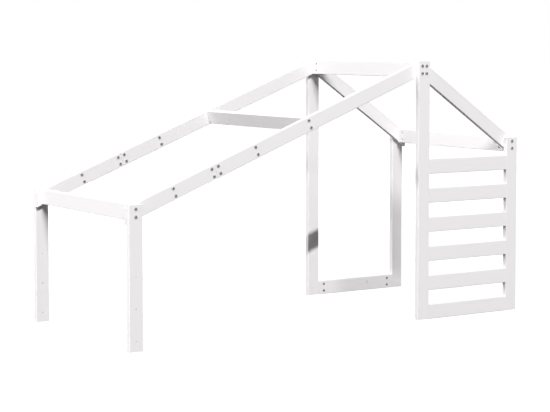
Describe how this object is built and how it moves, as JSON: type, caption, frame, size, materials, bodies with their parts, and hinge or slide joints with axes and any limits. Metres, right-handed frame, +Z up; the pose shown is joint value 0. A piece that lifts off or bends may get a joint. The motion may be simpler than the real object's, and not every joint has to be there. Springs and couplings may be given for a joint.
{
  "type": "house bed frame",
  "caption": "White wooden house frame for a child's bed: bolted uprights, an uneven gable roof with cross members, and a slatted guard under the short slope.",
  "frame": {"origin": "on the floor, under the middle of the frame's length and width", "axes": "+X along the length from the low end to the ridge end, +Y across from the side with the slats to the far side, +Z up"},
  "size_m": [2.1, 0.938, 1.197],
  "materials": {
    "white_painted_wood": "satin white paint over planed softwood, faint grain",
    "steel_hardware": "zinc plated"
  },
  "bodies": {
    "root": {"eaves_beam": "white_painted_wood", "far_bottom_rail": "white_painted_wood", "far_eaves_bolt_lower": "steel_hardware", "far_eaves_bolt_upper": "steel_hardware", "far_left_leg": "white_painted_wood", "far_leg_bolt_lower": "steel_hardware", "far_leg_bolt_upper": "steel_hardware", "far_long_rafter_lower": "white_painted_wood", "far_long_rafter_upper": "white_painted_wood", "far_middle_bolt_lower": "steel_hardware", "far_middle_bolt_upper": "steel_hardware", "far_ridge_left_bolt_lower": "steel_hardware", "far_ridge_left_bolt_upper": "steel_hardware", "far_ridge_post": "white_painted_wood", "far_ridge_right_bolt_lower": "steel_hardware", "far_ridge_right_bolt_upper": "steel_hardware", "far_right_post": "white_painted_wood", "far_short_rafter": "white_painted_wood", "far_splice_bolts_1": "steel_hardware", "far_splice_bolts_2": "steel_hardware", "far_splice_bolts_3": "steel_hardware", "far_splice_bolts_4": "steel_hardware", "far_splice_plate": "white_painted_wood", "guard_slat_1": "white_painted_wood", "guard_slat_2": "white_painted_wood", "guard_slat_3": "white_painted_wood", "guard_slat_4": "white_painted_wood", "guard_slat_5": "white_painted_wood", "guard_slat_6": "white_painted_wood", "left_end_rail": "white_painted_wood", "middle_cross_beam": "white_painted_wood", "near_eaves_bolt_lower": "steel_hardware", "near_eaves_bolt_upper": "steel_hardware", "near_left_leg": "white_painted_wood", "near_leg_bolt_lower": "steel_hardware", "near_leg_bolt_upper": "steel_hardware", "near_long_rafter_lower": "white_painted_wood", "near_long_rafter_upper": "white_painted_wood", "near_middle_bolt_lower": "steel_hardware", "near_middle_bolt_upper": "steel_hardware", "near_ridge_left_bolt_lower": "steel_hardware", "near_ridge_left_bolt_upper": "steel_hardware", "near_ridge_post": "white_painted_wood", "near_ridge_right_bolt_lower": "steel_hardware", "near_ridge_right_bolt_upper": "steel_hardware", "near_right_post": "white_painted_wood", "near_short_rafter": "white_painted_wood", "near_splice_bolts_1": "steel_hardware", "near_splice_bolts_2": "steel_hardware", "near_splice_bolts_3": "steel_hardware", "near_splice_bolts_4": "steel_hardware", "near_splice_plate": "white_painted_wood", "rail_cam_left_lower": "steel_hardware", "rail_cam_left_upper": "steel_hardware", "rail_cam_right_lower": "steel_hardware", "rail_cam_right_upper": "steel_hardware", "ridge_board_left": "white_painted_wood", "ridge_board_right": "white_painted_wood"}
  },
  "joints": []
}
